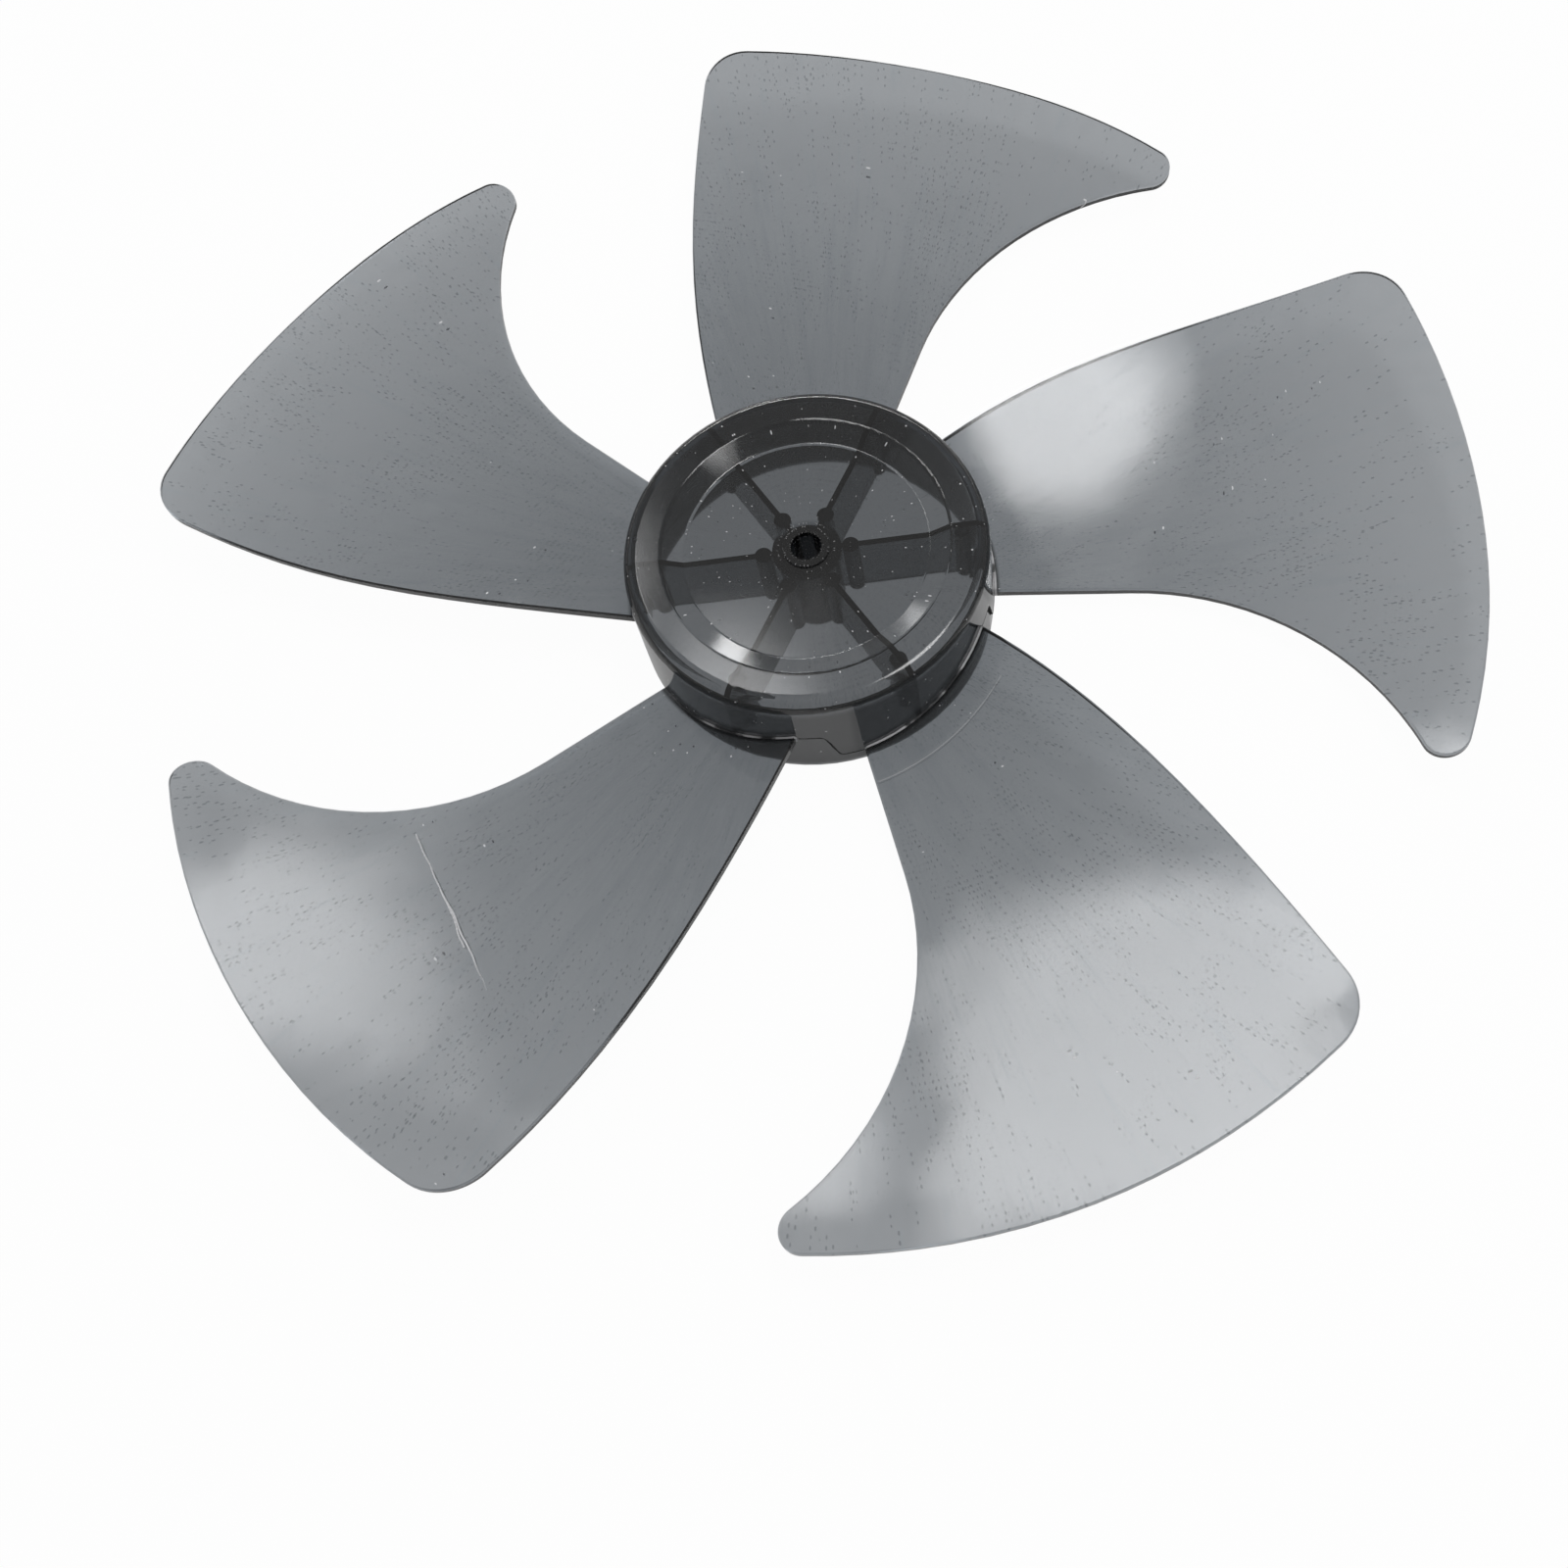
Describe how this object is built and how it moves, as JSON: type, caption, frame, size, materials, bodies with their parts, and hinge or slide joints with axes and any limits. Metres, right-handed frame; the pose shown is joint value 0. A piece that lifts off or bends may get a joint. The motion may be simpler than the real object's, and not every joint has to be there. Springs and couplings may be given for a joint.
{
  "type": "pedestal fan blade",
  "caption": "Moulded fan impeller: wide swept blades with hooked tips round a closed, recessed hub cup that holds a ribbed boss, a bore and a drive-pin slot.",
  "frame": {"origin": "centre of the bore where the drive pin seats in the boss and the full bore begins", "axes": "+Z along the axis of turning, towards the closed front face; +X through the blade numbered 0"},
  "size_m": [0.356, 0.3599, 0.035],
  "materials": {
    "smoky_plastic": "glossy, smoky and see-through"
  },
  "bodies": {
    "root": {"fan_blade": "smoky_plastic"}
  },
  "joints": []
}
